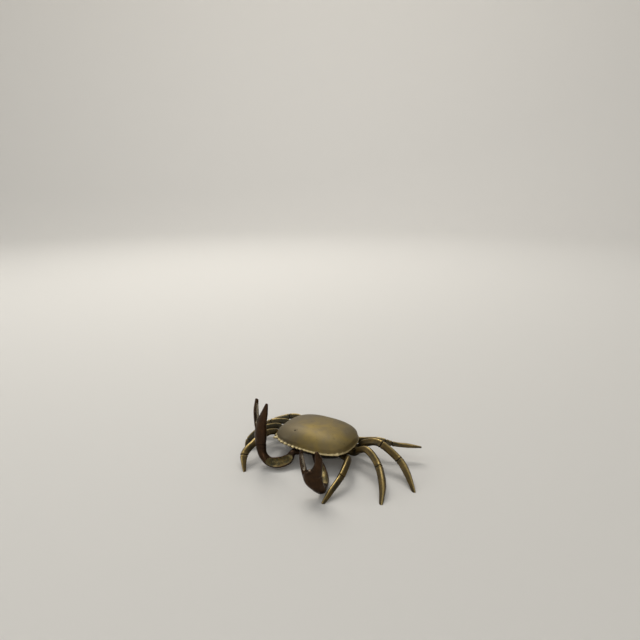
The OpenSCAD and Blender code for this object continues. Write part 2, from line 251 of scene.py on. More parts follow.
def shell_rings():
    """Rings of the shell from the middle of its hollow, out under the land, round the rim and up the dome."""
    yield [spot(0, 0, SHELL_EDGE + DOME_RISE - DOME_WALL)]
    for step in range(1, UNDER_RINGS):
        share = step / UNDER_RINGS
        yield [under_dome(a, share * plan_reach(a, LAND + 1.2)) for a in BEARINGS]
    for inset, height in ((0.9, 2.9), (0.5, 0.7), (0.1, 0.1), (-0.4, 0)):
        yield [rim_point(a, LAND + inset, SHELL_UNDER + height) for a in BEARINGS]
    for inset, height, teeth in ((3, 0, 0.3), (1.2, 0, 0.8), (0.5, 0, 0.93), (0.2, 0.12, 1), (0.04, 0.4, 1),
                                 (0, 0.7, 1), (0.04, 1.0, 1), (0.16, 1.2, 1)):
        yield [rim_point(a, inset, SHELL_UNDER + height, teeth) for a in BEARINGS]
    for step in range(1, DOME_RINGS):
        share = 0.991 - 0.991 * (step / DOME_RINGS) ** 1.5
        yield [on_dome(a, share) for a in BEARINGS]
    yield [spot(0, 0, SHELL_EDGE + DOME_RISE)]


def under_dome(bearing, reach):
    """A point of the hollow, one wall thickness below the dome."""
    x, y = reach * cos(bearing), reach * sin(bearing)
    return spot(x, y, dome_height(x, y) - DOME_WALL)


def rim_point(bearing, inset, height, teeth=0):
    """A point at an inset from the shell's plan, with a share of the teeth."""
    tooth, crest = tooth_at(bearing)
    out = plan_reach(bearing, inset) + tooth * teeth
    return spot(out * cos(bearing), out * sin(bearing), height)


def on_dome(bearing, share):
    """A point of the dome, which rises from a narrow brim. The notches between the teeth end on the brim."""
    reach = plan_reach(bearing, 0) * share
    inward = plan_reach(bearing, 0) - reach
    tooth, crest = tooth_at(bearing)
    out = reach + tooth * max(0, 1 - inward / 1.1)
    clear = min(1, max(0, (inward - 0.15) / 1.5))
    rise = dome_height(reach * cos(bearing), reach * sin(bearing)) - SHELL_EDGE
    height = SHELL_EDGE + 0.12 * min(1, inward) + rise * clear * clear * (3 - 2 * clear)
    return spot(out * cos(bearing), out * sin(bearing), height)


shell = closed_skin("shell_cast", list(shell_rings()))

# Small casting flaws: pits on the dome that the photograph shows, as place, width and depth
PITS = [(-11.8, -14.2, 1.5, 0.35), (-10.2, -13.3, 0.9, 0.2), (11.1, -3.5, 0.8, 0.18), (18.4, -7.1, 0.9, 0.2),
        (21.3, -10.6, 0.8, 0.22), (20.4, -9.4, 0.6, 0.15), (-20.5, 3.5, 0.8, 0.2), (6.5, 15, 0.7, 0.15)]


def pit_depth(place):
    """How deep a point of the dome lies in the pits, in millimetres."""
    x, y, z = from_middle(place)
    return sum(deep * exp(-(hypot(x - px, y - py) / wide * 2) ** 2) for px, py, wide, deep in PITS)


dome_points = [v.index for v in shell.data.vertices if v.normal.z > 0.3]
for i in dome_points:
    shell.data.vertices[i].co.z -= pit_depth(shell.data.vertices[i].co) / 1000


def is_inside(place, normal):
    """1 on the hollow underside of the shell, 0 on the dome and the rim."""
    x, y, z = from_middle(place)
    inward = plan_reach(atan2(y, x), 0) - hypot(x, y)
    return 1 if inward > LAND - 1 and normal.z < 0.05 and z > SHELL_UNDER + 0.2 else 0


roughen(shell, 0.00006, 0.009)
roughen(shell, 0.00012, 0.0022, is_inside)


def shell_wear(place, normal):
    """Bright along the rim and on the teeth, partly rubbed wear and partly painted highlight; darker in the
    notches and the pits; painted shade on faces that turn down.
    """
    x, y, z = from_middle(place)
    bearing = atan2(y, x)
    tooth, crest = tooth_at(bearing)
    inward = plan_reach(bearing, 0) - hypot(x, y)
    front = max(0, min(1, (0.35 - sin(bearing)) * 2))
    # Painted shade on faces that turn down; in the hollow underside it also stands for a dark cast skin
    if normal.z < -0.3 or is_inside(place, normal):
        return 0.15, 0.42
    left = max(0, min(1, 0.5 + cos(bearing) * 2))
    rim = max(0, min(1, (0.75 - inward) / 0.6))
    # Painted highlight over real rubbing: the rim and tooth crests are brightest at the front and along the
    # crab's left
    rubbed_and_highlight = rim * (0.35 + front * (0.35 + 0.55 * max(crest, 0.6 * left)))
    # Darker in the notches between the teeth and in the pits; painted shade on faces that turn down below the
    # rim
    valley = max(0, min(1, (0.4 - inward) / 0.4)) * front * (1 - crest) ** 2 * (1 - left)
    return rubbed_and_highlight + 0.1, min(1, 0.75 * valley + 0.8 * max(0, -0.1 - normal.z) + pit_depth(place) * 3)


set_wear(shell, shell_wear)
# Painted sheen: the crab's right side of the dome is coloured greyer than the rest, for a grey reflection
# there
tarnish_and_sheen = shell.data.attributes.new("tarnish_and_sheen", "FLOAT", "POINT")
for v in shell.data.vertices:
    tarnish_and_sheen.data[v.index].value = max(0, min(1, (-v.co.x * 1000 - 14) / 20))


def node(tree, kind, inputs=None, **settings):
    """One shader node, with its settings and the values of its sockets."""
    made = tree.nodes.new("ShaderNode" + kind)
    for key, value in settings.items():
        setattr(made, key, value)
    for key, value in (inputs or {}).items():
        if isinstance(value, bpy.types.NodeSocket):
            tree.links.new(value, made.inputs[key])
        else:
            made.inputs[key].default_value = value
    return made


def blend(tree, share, first, second):
    """Mixes two colours. Each may be a socket or a plain colour."""
    mixed = node(tree, "Mix", {"Factor": share}, data_type="RGBA")
    for end, colour in zip([s for s in mixed.inputs if s.type == "RGBA"], (first, second)):
        if isinstance(colour, bpy.types.NodeSocket):
            tree.links.new(colour, end)
        else:
            end.default_value = colour
    return [s for s in mixed.outputs if s.type == "RGBA"][0]


def effect(name, inputs, outputs):
    """An empty shader node group with named sockets, and its two end nodes."""
    tree = bpy.data.node_groups.new(name, "ShaderNodeTree")
    for label, kind, value in inputs:
        socket = tree.interface.new_socket(label, in_out="INPUT", socket_type="NodeSocket" + kind)
        socket.default_value = value
    for label, kind in outputs:
        tree.interface.new_socket(label, in_out="OUTPUT", socket_type="NodeSocket" + kind)
    return tree, tree.nodes.new("NodeGroupInput"), tree.nodes.new("NodeGroupOutput")


def patina_effect():
    """Metal that has darkened unevenly: clouds of two tones, bright where rubbed and where highlights are
    painted, dark where grime stays and where shade is painted.
    """
    tree, given, out = effect(
        "patina",
        [("Tone", "Color", (0.2, 0.15, 0.06, 1)), ("Cloud", "Color", (0.15, 0.12, 0.06, 1)),
         ("Bright", "Color", (0.5, 0.4, 0.2, 1)), ("Dark", "Color", (0.02, 0.015, 0.01, 1)),
         ("Cloud size", "Float", 90.0), ("Rub and highlight", "Float", 1.0), ("Dirt and shade", "Float", 1.0)],
        [("Color", "Color"), ("Rubbed and highlight", "Float"), ("Grime and shade", "Float")])
    place = node(tree, "TexCoord").outputs["Object"]
    clouds = node(tree, "TexNoise", {
        "Vector": place, "Scale": given.outputs["Cloud size"], "Detail": 5.0, "Roughness": 0.6,
        "Distortion": 0.6})
    spread = node(tree, "MapRange", {"Value": clouds.outputs["Fac"], "From Min": 0.36, "From Max": 0.66})
    speckle = node(tree, "TexNoise", {"Vector": place, "Scale": 1500.0, "Detail": 4.0, "Roughness": 0.7})
    fleck = node(tree, "MapRange", {
        "Value": speckle.outputs["Fac"], "From Min": 0.3, "From Max": 0.7, "To Min": -0.2, "To Max": 0.2})
    # Painted grey sheen on the crab's right side of the shell, and real grey tarnish on some legs: both push
    # the clouds to the greyer tone
    tarnish_and_sheen = node(tree, "Attribute", attribute_name="tarnish_and_sheen").outputs["Fac"]
    dulled = node(tree, "Math", {0: spread.outputs["Result"], 1: tarnish_and_sheen}, operation="ADD", use_clamp=True)
    cloudy = blend(tree, dulled.outputs[0], given.outputs["Tone"], given.outputs["Cloud"])

    def masked(attribute, amount, low, high):
        """A stored share of wear and painted light, times one of the group's amounts, with an uneven edge."""
        stored = node(tree, "Attribute", attribute_name=attribute).outputs["Fac"]
        scaled = node(tree, "Math", {0: stored, 1: given.outputs[amount]}, operation="MULTIPLY")
        uneven = node(tree, "Math", {0: scaled.outputs[0], 1: fleck.outputs["Result"]}, operation="ADD")
        edge = node(tree, "MapRange", {"Value": uneven.outputs[0], "From Min": low, "From Max": high})
        return edge.outputs["Result"]

    rubbed_and_highlight = masked("rubbed_and_highlight", "Rub and highlight", 0.25, 1.0)
    grime_and_shade_share = masked("grime_and_shade", "Dirt and shade", 0.15, 0.85)
    shown = blend(tree, grime_and_shade_share, blend(tree, rubbed_and_highlight, cloudy, given.outputs["Bright"]), given.outputs["Dark"])
    tree.links.new(shown, out.inputs["Color"])
    tree.links.new(rubbed_and_highlight, out.inputs["Rubbed and highlight"])
    tree.links.new(grime_and_shade_share, out.inputs["Grime and shade"])
    return tree


def cast_grain_effect():
    """The skin of a sand casting: fine grain, soft hammer-like waves and a few open pits."""
    tree, given, out = effect(
        "cast_grain",
        [("Grain", "Float", 0.4), ("Waves", "Float", 0.5), ("Pits", "Float", 0.3),
         ("Pit size", "Float", 420.0)],
        [("Height", "Float"), ("Pit", "Float")])
    place = node(tree, "TexCoord").outputs["Object"]
    fine = node(tree, "TexNoise", {"Vector": place, "Scale": 3200.0, "Detail": 3.0, "Roughness": 0.6})
    waves = node(tree, "TexNoise", {"Vector": place, "Scale": 340.0, "Detail": 3.0, "Roughness": 0.5})
    cells = node(tree, "TexVoronoi", {"Vector": place, "Scale": given.outputs["Pit size"], "Randomness": 1.0})
    hole = node(tree, "MapRange", {
        "Value": cells.outputs["Distance"], "From Min": 0.05, "From Max": 0.3, "To Min": 1.0, "To Max": 0.0})
    sparse = node(tree, "TexNoise", {"Vector": place, "Scale": 230.0, "Detail": 1.0})
    some = node(tree, "MapRange", {"Value": sparse.outputs["Fac"], "From Min": 0.5, "From Max": 0.64})
    pit = node(tree, "Math", {0: hole.outputs["Result"], 1: some.outputs["Result"]}, operation="MULTIPLY")
    deep = node(tree, "Math", {0: pit.outputs[0], 1: given.outputs["Pits"]}, operation="MULTIPLY")
    grain = node(tree, "Math", {0: fine.outputs["Fac"], 1: given.outputs["Grain"]}, operation="MULTIPLY")
    wave = node(tree, "Math", {0: waves.outputs["Fac"], 1: given.outputs["Waves"]}, operation="MULTIPLY")
    both = node(tree, "Math", {0: grain.outputs[0], 1: wave.outputs[0]}, operation="ADD")
    height = node(tree, "Math", {0: both.outputs[0], 1: deep.outputs[0]}, operation="SUBTRACT")
    tree.links.new(height.outputs[0], out.inputs["Height"])
    tree.links.new(deep.outputs[0], out.inputs["Pit"])
    return tree


PATINA = patina_effect()
CAST_GRAIN = cast_grain_effect()


def aged_metal(name, tone, cloud, bright, dark, cloud_size, grain, waves, pits, pit_size,
               smooth, dull, bump, metallic, rub_and_highlight=1.0, dirt_and_shade=1.0):
    """A cast copper alloy with its patina, painted highlights and painted shade. smooth and dull are the
    roughness on the rubbed-and-highlight mask and on the grime-and-shade mask.
    """
    metal = bpy.data.materials.new(name)
    metal.use_nodes = True
    tree = metal.node_tree
    shader = tree.nodes["Principled BSDF"]
    aged = node(tree, "Group", node_tree=PATINA)
    for label, value in (("Tone", tone), ("Cloud", cloud), ("Bright", bright), ("Dark", dark),
                         ("Cloud size", cloud_size), ("Rub and highlight", rub_and_highlight), ("Dirt and shade", dirt_and_shade)):
        aged.inputs[label].default_value = value
    cast = node(tree, "Group", node_tree=CAST_GRAIN)
    for label, value in (("Grain", grain), ("Waves", waves), ("Pits", pits), ("Pit size", pit_size)):
        cast.inputs[label].default_value = value
    tree.links.new(blend(tree, cast.outputs["Pit"], aged.outputs["Color"], dark), shader.inputs["Base Color"])
    middle = (smooth + dull) / 2
    glossed = node(tree, "MapRange", {"Value": aged.outputs["Rubbed and highlight"], "To Min": middle, "To Max": smooth})
    dulled = node(tree, "MapRange", {"Value": aged.outputs["Grime and shade"], "To Min": 0.0, "To Max": dull - middle})
    rough = node(tree, "Math", {0: glossed.outputs[0], 1: dulled.outputs[0]}, operation="ADD")
    tree.links.new(rough.outputs[0], shader.inputs["Roughness"])
    relief = node(tree, "Bump", {"Height": cast.outputs["Height"], "Strength": bump, "Distance": 0.0002})
    tree.links.new(relief.outputs["Normal"], shader.inputs["Normal"])
    shader.inputs["Metallic"].default_value = metallic
    return metal


shell_brass = aged_metal(
    "shell_brass", tint(136, 118, 70), tint(112, 101, 78), tint(214, 196, 148), tint(30, 23, 14),
    cloud_size=48.0, grain=0.25, waves=0.5, pits=0.25, pit_size=300.0,
    smooth=0.44, dull=0.7, bump=0.35, metallic=0.84)
shell.data.materials.append(shell_brass)
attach(shell, "lid")
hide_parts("shell")


PIN_BORE = 1.05
CHAMFER = 0.25
KNUCKLE_HALF = 4
CRISP = 0.7


def knuckle(name, low, high, reach_at):
    """A hinge knuckle along X: an outline round the pin's axis, a bore, and small chamfers at both ends."""
    angles = [2 * pi * k / 64 for k in range(64)]

    def ring(x, radius_at):
        """One ring round the pin's axis."""
        return [spot(x, HINGE_Y + radius_at(a) * cos(a), HINGE_Z + radius_at(a) * sin(a)) for a in angles]

    rings = [ring(low, lambda a: PIN_BORE)]
    for x, cut in ((low, CHAMFER), (low + CHAMFER, 0), (high - CHAMFER, 0), (high, CHAMFER)):
        rings.append(ring(x, lambda a: reach_at(a) - cut))
    rings.append(ring(high, lambda a: PIN_BORE))
    rings.append(rings[0])
    piece = closed_skin(name, rings)
    weld = bmesh.new()
    weld.from_mesh(piece.data)
    bmesh.ops.remove_doubles(weld, verts=weld.verts, dist=1e-7)
    bmesh.ops.recalc_face_normals(weld, faces=weld.faces)
    for edge in weld.edges:
        edge.smooth = edge.calc_face_angle(0) < CRISP
    weld.to_mesh(piece.data)
    weld.free()
    return piece


def shell_knuckle_reach(angle):
    """The barrel of the shell's knuckle, with a web that rises into the shell's land."""
    y, z = cos(angle), sin(angle)
    if z <= 0:
        return 2
    side = 1.8 if y < 0 else 1.2
    web = min(2.75 / max(z, 0.001), side / max(abs(y), 0.001))
    return max(2, web) if abs(y) * 2 < side + 0.9 and z < 0.6 else web


shell_knuckle = knuckle("shell_knuckle", -KNUCKLE_HALF, KNUCKLE_HALF, shell_knuckle_reach)
set_wear(shell_knuckle, lambda place, normal: (0.25, 0.45))
shell_knuckle.data.materials.append(shell_brass)
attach(shell_knuckle, "lid")


# Bowl.
# The crab's body is a thin cast pan with a low, full belly. Ten round bosses in its wall carry the limbs,
# and two knuckles at its back hold the hinge pin. Its rim closes against the flat land of the shell.

BOWL_INSET = 5
BOWL_WALL = 1.8
BOWL_UNDER = 4
BOWL_RIM = 12.7
SEAT_INSET = 3.5
SEAT_HEIGHT = 9.2
SEAT = 5.6
BOSS = 5.9
LUG_MIDDLE = 6.3
LUG_HALF = 2
LEFT_SEATS = {"left_claw": (-62, -52), "left_leg_1": (-17, -24), "left_leg_2": (0, 0), "left_leg_3": (16, 12),
              "left_leg_4": (36, 24)}
RIGHT_SEATS = {"right_claw": (-105, -118), "right_leg_1": (-168, -174), "right_leg_2": (176, 178),
               "right_leg_3": (158, 164), "right_leg_4": (143, 140)}
SEATS = {**LEFT_SEATS, **RIGHT_SEATS}


def seat_point(name, out=0):
    """The middle of a limb's round seat on the bowl, or a point along its screw, in millimetres."""
    bearing, heading = (radians(d) for d in SEATS[name])
    reach = plan_reach(bearing, SEAT_INSET)
    return (reach * cos(bearing) + out * cos(heading), reach * sin(bearing) + out * sin(heading), SEAT_HEIGHT)


def turned(name, start, heading_degrees, profile, sides=40):
    """A turned form along a level axis: profile gives distances along the axis, and radii, in millimetres."""
    x, y = cos(radians(heading_degrees)), sin(radians(heading_degrees))
    rings = []
    for along, radius in profile:
        middle = (start[0] + along * x, start[1] + along * y, start[2])
        if radius == 0:
            rings.append([spot(*middle)])
            continue
        angles = [2 * pi * k / sides for k in range(sides)]
        around = [(radius * cos(a), radius * sin(a)) for a in angles]
        rings.append([spot(middle[0] - y * wide, middle[1] + x * wide, middle[2] + high)
                      for wide, high in around])
    return closed_skin(name, rings)


def bowl_rings():
    """Rings of the bowl from the middle of its belly, up its outside, over the rim and down its inside."""
    outside = [(12, 0), (8, 0.3), (5, 1.0), (3.1, 1.9), (1.8, 3.0), (0.9, 4.3), (0.35, 5.7), (0.1, 7.1),
               (0, 8.4)]
    inside = [(0, 8.4), (0.3, 7.4), (0.8, 6.4), (1.7, 5.3), (3, 4.2), (4.6, 3.2), (6.5, 2.4), (8.4, 1.95),
              (10.5, 1.8)]
    bearings = BEARINGS[::4]
    belly, floor_top = spot(0, 0, BOWL_UNDER), spot(0, 0, BOWL_UNDER + BOWL_WALL)

    def ring(inset, height, share=1, middle=belly):
        """One ring of the bowl, drawn in towards a middle point where its share is less than 1."""
        return [rim_point(a, BOWL_INSET + inset, height).lerp(middle, 1 - share) for a in bearings]

    yield [belly]
    for share in (0.3, 0.6, 0.85):
        yield ring(12, BOWL_UNDER, share)
    for inset, height in outside:
        yield ring(inset, BOWL_UNDER + height)
    yield ring(0.25, BOWL_RIM)
    yield ring(BOWL_WALL - 0.25, BOWL_RIM)
    for inset, height in inside:
        yield ring(BOWL_WALL + inset, BOWL_UNDER + height)
    for share in (0.8, 0.5, 0.2):
        yield ring(BOWL_WALL + 10.5, BOWL_UNDER + BOWL_WALL, share, floor_top)
    yield [floor_top]


def lug_reach(angle):
    """A knuckle of the bowl: a barrel with an arm that reaches forward into the bowl's back wall."""
    y, z = cos(angle), sin(angle)
    if y < 0 and -2 <= 3.2 * z / max(-y, 0.001) <= 0:
        return 3.2 / -y
    if y < 0 and z < 0:
        return min(3.2 / max(-y, 0.001), 2 / -z)
    return 2


def solid_copy(piece, modifier):
    """Applies one modifier to a piece and removes it, so that the mesh itself has the shape."""
    bpy.context.view_layer.update()
    shaped = bpy.data.meshes.new_from_object(piece.evaluated_get(bpy.context.evaluated_depsgraph_get()))
    piece.modifiers.remove(modifier)
    old, piece.data = piece.data, shaped
    bpy.data.meshes.remove(old)


def cut_or_join(piece, tool, operation):
    """Joins a tool form to a piece, or cuts it out of the piece, and removes the tool form."""
    change = piece.modifiers.new("form", "BOOLEAN")
    change.object = tool
    change.operation = operation
    change.solver = "EXACT"
    solid_copy(piece, change)
    bpy.data.objects.remove(tool)


bowl = closed_skin("bowl_cast", list(bowl_rings()))
for name, (bearing, heading) in SEATS.items():
    boss = turned("boss", seat_point(name), heading,
                  [(-BOSS, 0), (-BOSS, 2.55), (-BOSS + 0.25, 2.8), (-0.2, 2.8), (0, 2.65), (0, 0)])
    cut_or_join(bowl, boss, "UNION")
for side in (-1, 1):
    lug = knuckle("lug", side * LUG_MIDDLE - LUG_HALF, side * LUG_MIDDLE + LUG_HALF, lug_reach)
    cut_or_join(bowl, lug, "UNION")
for name, (bearing, heading) in SEATS.items():
    hole = turned("hole", seat_point(name), heading,
                  [(-BOSS - 4.3, 0), (-BOSS - 4.3, 2.15), (-BOSS, 2.15), (-BOSS, 1.25), (1, 1.25), (1, 0)])
    cut_or_join(bowl, hole, "DIFFERENCE")


def crease(piece, limit):
    """Keeps edges sharper than the limit crisp, and shades the rest smooth."""
    form = bmesh.new()
    form.from_mesh(piece.data)
    for face in form.faces:
        face.smooth = True
    for edge in form.edges:
        edge.smooth = edge.calc_face_angle(0) < limit
    form.to_mesh(piece.data)
    form.free()


crease(bowl, 0.65)
# Painted shade: the bowl is darker on faces that turn down
set_wear(bowl, lambda place, normal: (0.25, 0.2 + 0.4 * max(0, -normal.z)))
# This dark tone is the bowl's own bronze and in part painted shade, as the bowl sits in the shadow under the
# shell
bowl_bronze = aged_metal(
    "bowl_bronze", tint(62, 52, 39), tint(48, 44, 37), tint(134, 122, 98), tint(18, 15, 12),
    cloud_size=110.0, grain=0.5, waves=0.6, pits=0.5, pit_size=420.0,
    smooth=0.3, dull=0.62, bump=0.5, metallic=0.9, rub_and_highlight=0.8)
bowl.data.materials.append(bowl_bronze)
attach(bowl, "body")
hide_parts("bowl")


# Hinge pin.
# One straight brass wire goes through all three knuckles. Its ends are domed over by a few light hammer
# blows, so that it can't slide out of the bowl's knuckles.

PIN_HALF = 8.3
PIN_RADIUS = 1
head = [(0, 0), (0, 0.55), (0.12, 0.85), (0.35, PIN_RADIUS)]
tail = [(2 * PIN_HALF - along, radius) for along, radius in reversed(head)]
hinge_pin = turned("pin_wire", (-PIN_HALF, HINGE_Y, HINGE_Z), 0, head + tail)
crease(hinge_pin, 0.8)
set_wear(hinge_pin, lambda place, normal: (0.3 + 0.5 * abs(normal.x), 0.2))
wire_brass = aged_metal(
    "wire_brass", tint(168, 146, 92), tint(140, 124, 84), tint(226, 206, 150), tint(44, 34, 20),
    cloud_size=260.0, grain=0.25, waves=0.2, pits=0.1, pit_size=900.0,
    smooth=0.22, dull=0.5, bump=0.2, metallic=0.95, dirt_and_shade=0.8)
hinge_pin.data.materials.append(wire_brass)
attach(hinge_pin, "body")
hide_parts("hinge_pin")


# Limb screws.
# Ten short brass screws with low round heads and one slot pull the limbs on to their seats from inside
# the bowl. Each goes through its boss into the tapped root of the leg or claw.

HEAD = 1.3
SHANK = 1.2
SLOT_DEEP = 1.3
SLOT_WIDE = 0.55
SLOT_LONG = 4.4


def slot_form(name, tilt):
    """A flat bar across the head of one limb's screw. Cutting it away leaves the slot."""
    x, y, z = seat_point(name, -BOSS - HEAD)
    turn = radians(SEATS[name][1])
    bar = bmesh.new()
    bmesh.ops.create_cube(bar, size=1)
    for v in bar.verts:
        along, wide, deep = v.co.x * SLOT_DEEP, v.co.y * SLOT_WIDE, v.co.z * SLOT_LONG
        wide, deep = wide * cos(tilt) - deep * sin(tilt), wide * sin(tilt) + deep * cos(tilt)
        right, ahead = along * cos(turn) - wide * sin(turn), along * sin(turn) + wide * cos(turn)
        v.co = spot(x + right, y + ahead, z + deep)
    bmesh.ops.recalc_face_normals(bar, faces=bar.faces)
    bar_mesh = bpy.data.meshes.new("slot")
    bar.to_mesh(bar_mesh)
    bar.free()
    form = bpy.data.objects.new("slot", bar_mesh)
    scene.collection.objects.link(form)
    return form


screws = []
for name, (bearing, heading) in SEATS.items():
    screw = turned("screw", seat_point(name), heading,
                   [(-BOSS - HEAD, 0), (-BOSS - 1.28, 0.7), (-BOSS - 1.15, 1.3), (-BOSS - 0.85, 1.7),
                    (-BOSS - 0.3, 1.9), (-BOSS - 0.01, 1.9), (-BOSS, SHANK), (4.4, SHANK), (4.7, 0.9),
                    (4.7, 0)])
    cut_or_join(screw, slot_form(name, radians(-38 + 47 * (len(screws) % 4))), "DIFFERENCE")
    screws.append(screw)
joined = bmesh.new()
for screw in screws:
    joined.from_mesh(screw.data)
    bpy.data.objects.remove(screw)
screw_mesh = bpy.data.meshes.new("screw_set")
joined.to_mesh(screw_mesh)
joined.free()
limb_screws = bpy.data.objects.new("screw_set", screw_mesh)
scene.collection.objects.link(limb_screws)
crease(limb_screws, 0.5)
set_wear(limb_screws, lambda place, normal: (0.45, 0.25))
limb_screws.data.materials.append(wire_brass)
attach(limb_screws, "body")
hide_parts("limb_screws")


# Walking and swimming legs.
# Eight brass castings, each with a round root, a raised knee, ring grooves at the joints and a ridge along
# its back, bright from wear and from a painted highlight. Seven end in feet that stand on the table, and the
# last left one in a thin paddle.

def root(name):
    """The first two stations of a limb: its round root on the seat, straight along the screw."""
    heading = radians(SEATS[name][1])
    side = (-sin(heading), cos(heading), 0)
    return [(*seat_point(name), SEAT, SEAT, *side), (*seat_point(name, 4.8), SEAT, SEAT - 0.6, *side)]


def from_seat(name, side, wide, thick, steps):
    """Stations from steps x, y, height, width share and thickness share, each step taken from the seat."""
    x, y, z = seat_point(name)
    return [(x + p[0], y + p[1], p[2], wide * p[3], thick * p[4], *side) for p in steps]


def station(stations, u):
    """The station at one place along a limb, on a smooth curve through all of them."""
    last = len(stations) - 1
    i = min(int(u), last - 1)
    t = u - i
    a, b, c, d = (stations[max(0, min(last, j))] for j in (i - 1, i, i + 1, i + 2))
    return [0.5 * (2 * q + (r - p) * t + (2 * p - 5 * q + 4 * r - s) * t * t
                   + (3 * q - p - 3 * r + s) * t ** 3) for p, q, r, s in zip(a, b, c, d)]


def ring_places(stations, joints, gap=0.55):
    """Places along a limb for its rings: evenly spaced, and closer round each joint groove."""
    last = len(stations) - 1
    walked, travelled = [(0, 0)], 0
    before = Vector(station(stations, 0)[:3])
    for k in range(1, 50 * last + 1):
        here = Vector(station(stations, k / 50)[:3])
        travelled += (here - before).length
        walked.append((travelled, k / 50))
        before = here

    def place_at(distance):
        """The place along the limb at a distance from its seat."""
        for (d0, u0), (d1, u1) in zip(walked, walked[1:]):
            if d1 >= distance:
                return u0 + (u1 - u0) * (distance - d0) / max(d1 - d0, 1e-9)
        return last

    marks = [next(d for d, u in walked if u >= joint) for joint in joints]
    wanted = [gap * k for k in range(int(travelled / gap) + 1)]
    for mark in marks:
        wanted = [d for d in wanted if abs(d - mark) > 1.5] + [mark + 0.16 * k for k in range(-9, 10)]
    wanted = sorted(d for d in wanted if 0 <= d < travelled - 0.2) + [travelled]
    return [(d, place_at(d)) for d in wanted], marks, travelled


def leg_section(angle):
    """A leg's section: two slopes that meet in a ridge above, and a rounder side below."""
    across, up = cos(angle), sin(angle)
    if up > 0:
        return across, 1.16 * (1 - abs(across) ** 1.5) ** 0.85
    return across, -0.92 * abs(up) ** 0.85


def carved(angle, open_angle, depth):
    """A point of a round section that has a hollow on one side, and how deep in the hollow it is."""
    wide, high = sin(angle - open_angle), cos(angle - open_angle)
    if depth <= 0 or high <= 0 or abs(wide) > 0.8:
        return cos(angle), sin(angle), 0
    floor_high = -0.25 + 0.85 * (abs(wide) / 0.8) ** 2.4
    deep = (high - floor_high) * depth
    high -= deep
    across = high * cos(open_angle) - wide * sin(open_angle)
    up = high * sin(open_angle) + wide * cos(open_angle)
    return across, up, deep


def limb_rings(stations, joints=(), groove=0.17, sides=40, ridged=False, gap=0.55, hollow=None):
    """The rings of a limb, and for each point its shares of ridge, groove, way along and hollow."""
    places, marks, whole = ring_places(stations, joints, gap)
    rings, marked = [], []
    for distance, u in places:
        here = station(stations, u)
        ahead = Vector(station(stations, min(u + 0.05, len(stations) - 1))[:3])
        behind = Vector(station(stations, max(u - 0.05, 0))[:3])
        forward = (ahead - behind).normalized()
        if u < 0.05:
            forward = (Vector(stations[1][:3]) - Vector(stations[0][:3])).normalized()
        side = Vector(here[5:8])
        across = (side - forward * side.dot(forward)).normalized()
        up = forward.cross(across)
        girth, cut = 1, 0
        for mark in marks:
            off = distance - mark
            cut = max(cut, exp(-(off / 0.42) ** 2))
            lips = 0.42 * exp(-((abs(off) - 1.05) / 0.55) ** 2)
            girth += groove * (lips - exp(-(off / 0.42) ** 2))
        left = (whole - distance) / max(0.5 * here[4], 0.3)
        girth *= sqrt(max(0.0, 1 - (1 - min(1, left)) ** 2))
        share = distance / whole
        depth, opened = hollow(share) if hollow else (0, (0, 0, 1))
        open_angle = atan2(Vector(opened).dot(up) * here[4], Vector(opened).dot(across) * here[3])
        ring = []
        for k in range(sides):
            angle = 2 * pi * k / sides
            wide, high, deep = carved(angle, open_angle, depth)
            if ridged:
                wide, high = leg_section(angle)
            wide, high = here[3] / 2 * wide * girth, here[4] / 2 * high * girth
            ring.append(Vector(here[:3]) + across * wide + up * high)
            on_ridge = exp(-(cos(angle) / 0.34) ** 2) if sin(angle) > 0 else 0
            marked.append((on_ridge, cut, share, deep))
        rings.append(ring)
    ends = [sum(ring, Vector()) / sides for ring in (rings[0], rings[-1])]
    rings = [[ends[0]]] + rings + [[ends[1]]]
    return [[spot(*p) for p in ring] for ring in rings], [(0, 0, 0, 0)] + marked + [(0, 0, 1, 0)]


def stand_flat(piece):
    """Cuts a limb off at the table, and closes the cut."""
    form = bmesh.new()
    form.from_mesh(piece.data)
    everything = form.verts[:] + form.edges[:] + form.faces[:]
    bmesh.ops.bisect_plane(form, geom=everything, plane_co=(0, 0, 0), plane_no=(0, 0, -1), clear_outer=True)
    rim = [e for e in form.edges if e.is_boundary]
    if rim:
        bmesh.ops.edgeloop_fill(form, edges=rim)
    bmesh.ops.recalc_face_normals(form, faces=form.faces)
    for face in form.faces:
        face.smooth = True
    form.to_mesh(piece.data)
    form.free()


def leg_wear(piece, wear):
    """Rubbed bright along the ridge, partly wear and partly painted highlight, more so to the tip; grimy in
    the joint grooves; painted shade below and at the root under the shell; a little painted top light on
    faces that turn up.
    """
    mesh = piece.data
    rubbed_and_highlight = mesh.attributes.new("rubbed_and_highlight", "FLOAT", "POINT")
    grime_and_shade = mesh.attributes.new("grime_and_shade", "FLOAT", "POINT")
    for v, (ridge, cut, share, deep) in zip(mesh.vertices, wear):
        # Painted top light: faces that turn up are a little brighter
        painted_top_light = 0.1 * max(0, v.normal.z)
        rubbed_and_highlight.data[v.index].value = ridge * (0.45 + 0.55 * share) * (1 - cut) + painted_top_light
        # Painted shade on faces that turn down and at the root under the shell; the joint grooves hold grime
        under = max(0, 0.15 - v.normal.z)
        grime_and_shade.data[v.index].value = min(1, 0.85 * cut + 0.55 * under + 1.2 * max(0, 0.2 - share))


leg_brass = aged_metal(
    "leg_brass", tint(100, 82, 47), tint(68, 63, 49), tint(206, 178, 112), tint(24, 18, 11),
    cloud_size=150.0, grain=0.3, waves=0.5, pits=0.3, pit_size=520.0,
    smooth=0.28, dull=0.55, bump=0.35, metallic=0.93, rub_and_highlight=0.8)

LEG_WIDE = 6.2
LEG_THICK = 4.8

